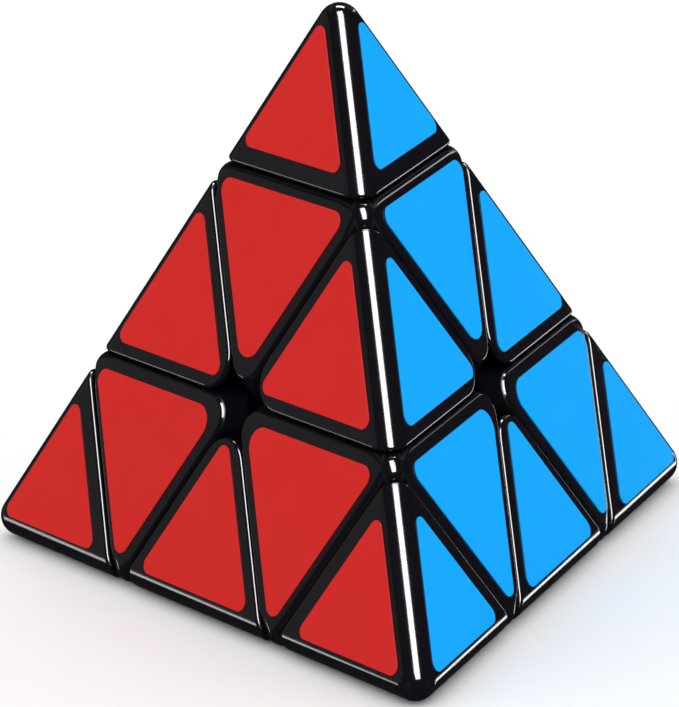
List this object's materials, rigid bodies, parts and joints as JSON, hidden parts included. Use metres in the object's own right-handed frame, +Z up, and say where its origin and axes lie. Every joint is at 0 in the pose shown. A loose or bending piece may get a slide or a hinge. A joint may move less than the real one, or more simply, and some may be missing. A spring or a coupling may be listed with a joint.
{
  "type": "pyramid twisty puzzle",
  "caption": "Four-sided pyramid puzzle whose corner layers and tips turn on a sprung inner core, with a coloured sticker on every triangle.",
  "frame": {"origin": "centre of the inner core, where the four turning axes meet and the whole puzzle's centre of mass lies", "axes": "+Z up through the top corner, -Y towards the front corner, +X towards the right corner's side"},
  "size_m": [0.0976, 0.0852, 0.0804],
  "materials": {
    "black_plastic": "glossy black moulded ABS",
    "core_plastic": "plain off-white moulded nylon",
    "screw_steel": "zinc-plated steel",
    "spring_steel": "drawn spring steel wire",
    "red_sticker": "even red vinyl film",
    "blue_sticker": "even sky-blue vinyl film",
    "green_sticker": "even green vinyl film",
    "yellow_sticker": "even yellow vinyl film"
  },
  "bodies": {
    "core_unit": {"core": "core_plastic", "screw_top": "screw_steel", "screw_front": "screw_steel", "screw_right": "screw_steel", "screw_left": "screw_steel", "spring_top": "spring_steel", "spring_front": "spring_steel", "spring_right": "spring_steel", "spring_left": "spring_steel"},
    "axial_unit_top": {"axial_top": "black_plastic", "green_axial_top": "green_sticker", "red_axial_top": "red_sticker", "blue_axial_top": "blue_sticker"},
    "tip_unit_top": {"tip_top": "black_plastic", "green_tip_top": "green_sticker", "red_tip_top": "red_sticker", "blue_tip_top": "blue_sticker"},
    "axial_unit_front": {"axial_front": "black_plastic", "yellow_axial_front": "yellow_sticker", "red_axial_front": "red_sticker", "blue_axial_front": "blue_sticker"},
    "tip_unit_front": {"tip_front": "black_plastic", "yellow_tip_front": "yellow_sticker", "red_tip_front": "red_sticker", "blue_tip_front": "blue_sticker"},
    "axial_unit_right": {"axial_right": "black_plastic", "yellow_axial_right": "yellow_sticker", "green_axial_right": "green_sticker", "blue_axial_right": "blue_sticker"},
    "tip_unit_right": {"tip_right": "black_plastic", "yellow_tip_right": "yellow_sticker", "green_tip_right": "green_sticker", "blue_tip_right": "blue_sticker"},
    "axial_unit_left": {"axial_left": "black_plastic", "yellow_axial_left": "yellow_sticker", "green_axial_left": "green_sticker", "red_axial_left": "red_sticker"},
    "tip_unit_left": {"tip_left": "black_plastic", "yellow_tip_left": "yellow_sticker", "green_tip_left": "green_sticker", "red_tip_left": "red_sticker"},
    "edge_unit_top_front": {"edge_top_front": "black_plastic", "red_edge_top_front": "red_sticker", "blue_edge_top_front": "blue_sticker"},
    "edge_unit_top_right": {"edge_top_right": "black_plastic", "green_edge_top_right": "green_sticker", "blue_edge_top_right": "blue_sticker"},
    "edge_unit_top_left": {"edge_top_left": "black_plastic", "green_edge_top_left": "green_sticker", "red_edge_top_left": "red_sticker"},
    "edge_unit_front_right": {"edge_front_right": "black_plastic", "yellow_edge_front_right": "yellow_sticker", "blue_edge_front_right": "blue_sticker"},
    "edge_unit_right_left": {"edge_right_left": "black_plastic", "yellow_edge_right_left": "yellow_sticker", "green_edge_right_left": "green_sticker"},
    "edge_unit_left_front": {"edge_left_front": "black_plastic", "yellow_edge_left_front": "yellow_sticker", "red_edge_left_front": "red_sticker"}
  },
  "joints": [
    {"name": "layer_top", "type": "hinge", "parent": "core_unit", "child": "axial_unit_top", "pos_m": [0, 0, 0], "axis": [0, 0, 1], "range_deg": [-240, 120]},
    {"name": "tip_top_turn", "type": "hinge", "parent": "axial_unit_top", "child": "tip_unit_top", "pos_m": [0, 0, 0.045], "axis": [0, 0, 1], "continuous": true},
    {"name": "layer_front", "type": "hinge", "parent": "core_unit", "child": "axial_unit_front", "pos_m": [0, 0, 0], "axis": [0, -0.9428, -0.3333], "range_deg": [-240, 120]},
    {"name": "tip_front_turn", "type": "hinge", "parent": "axial_unit_front", "child": "tip_unit_front", "pos_m": [0, -0.04243, -0.015], "axis": [0, -0.9428, -0.3333], "continuous": true},
    {"name": "layer_right", "type": "hinge", "parent": "core_unit", "child": "axial_unit_right", "pos_m": [0, 0, 0], "axis": [0.8165, 0.4714, -0.3333], "range_deg": [-240, 120]},
    {"name": "tip_right_turn", "type": "hinge", "parent": "axial_unit_right", "child": "tip_unit_right", "pos_m": [0.03674, 0.02121, -0.015], "axis": [0.8165, 0.4714, -0.3333], "continuous": true},
    {"name": "layer_left", "type": "hinge", "parent": "core_unit", "child": "axial_unit_left", "pos_m": [0, 0, 0], "axis": [-0.8165, 0.4714, -0.3333], "range_deg": [-240, 120]},
    {"name": "tip_left_turn", "type": "hinge", "parent": "axial_unit_left", "child": "tip_unit_left", "pos_m": [-0.03674, 0.02121, -0.015], "axis": [-0.8165, 0.4714, -0.3333], "continuous": true},
    {"name": "edge_top_front_with_front", "type": "hinge", "parent": "axial_unit_top", "child": "edge_unit_top_front", "pos_m": [0, 0, 0], "axis": [0, -0.9428, -0.3333], "range_deg": [-240, 120]},
    {"name": "edge_top_right_with_right", "type": "hinge", "parent": "axial_unit_top", "child": "edge_unit_top_right", "pos_m": [0, 0, 0], "axis": [0.8165, 0.4714, -0.3333], "range_deg": [-240, 120]},
    {"name": "edge_top_left_with_left", "type": "hinge", "parent": "axial_unit_top", "child": "edge_unit_top_left", "pos_m": [0, 0, 0], "axis": [-0.8165, 0.4714, -0.3333], "range_deg": [-240, 120]},
    {"name": "edge_front_right_with_right", "type": "hinge", "parent": "axial_unit_front", "child": "edge_unit_front_right", "pos_m": [0, 0, 0], "axis": [0.8165, 0.4714, -0.3333], "range_deg": [-240, 120]},
    {"name": "edge_right_left_with_left", "type": "hinge", "parent": "axial_unit_right", "child": "edge_unit_right_left", "pos_m": [0, 0, 0], "axis": [-0.8165, 0.4714, -0.3333], "range_deg": [-240, 120]},
    {"name": "edge_left_front_with_front", "type": "hinge", "parent": "axial_unit_left", "child": "edge_unit_left_front", "pos_m": [0, 0, 0], "axis": [0, -0.9428, -0.3333], "range_deg": [-240, 120]}
  ],
  "couplings": [
    {"joint": "edge_top_front_with_front", "follows": "layer_front", "ratio": 1},
    {"joint": "edge_top_right_with_right", "follows": "layer_right", "ratio": 1},
    {"joint": "edge_top_left_with_left", "follows": "layer_left", "ratio": 1},
    {"joint": "edge_front_right_with_right", "follows": "layer_right", "ratio": 1},
    {"joint": "edge_right_left_with_left", "follows": "layer_left", "ratio": 1},
    {"joint": "edge_left_front_with_front", "follows": "layer_front", "ratio": 1}
  ]
}
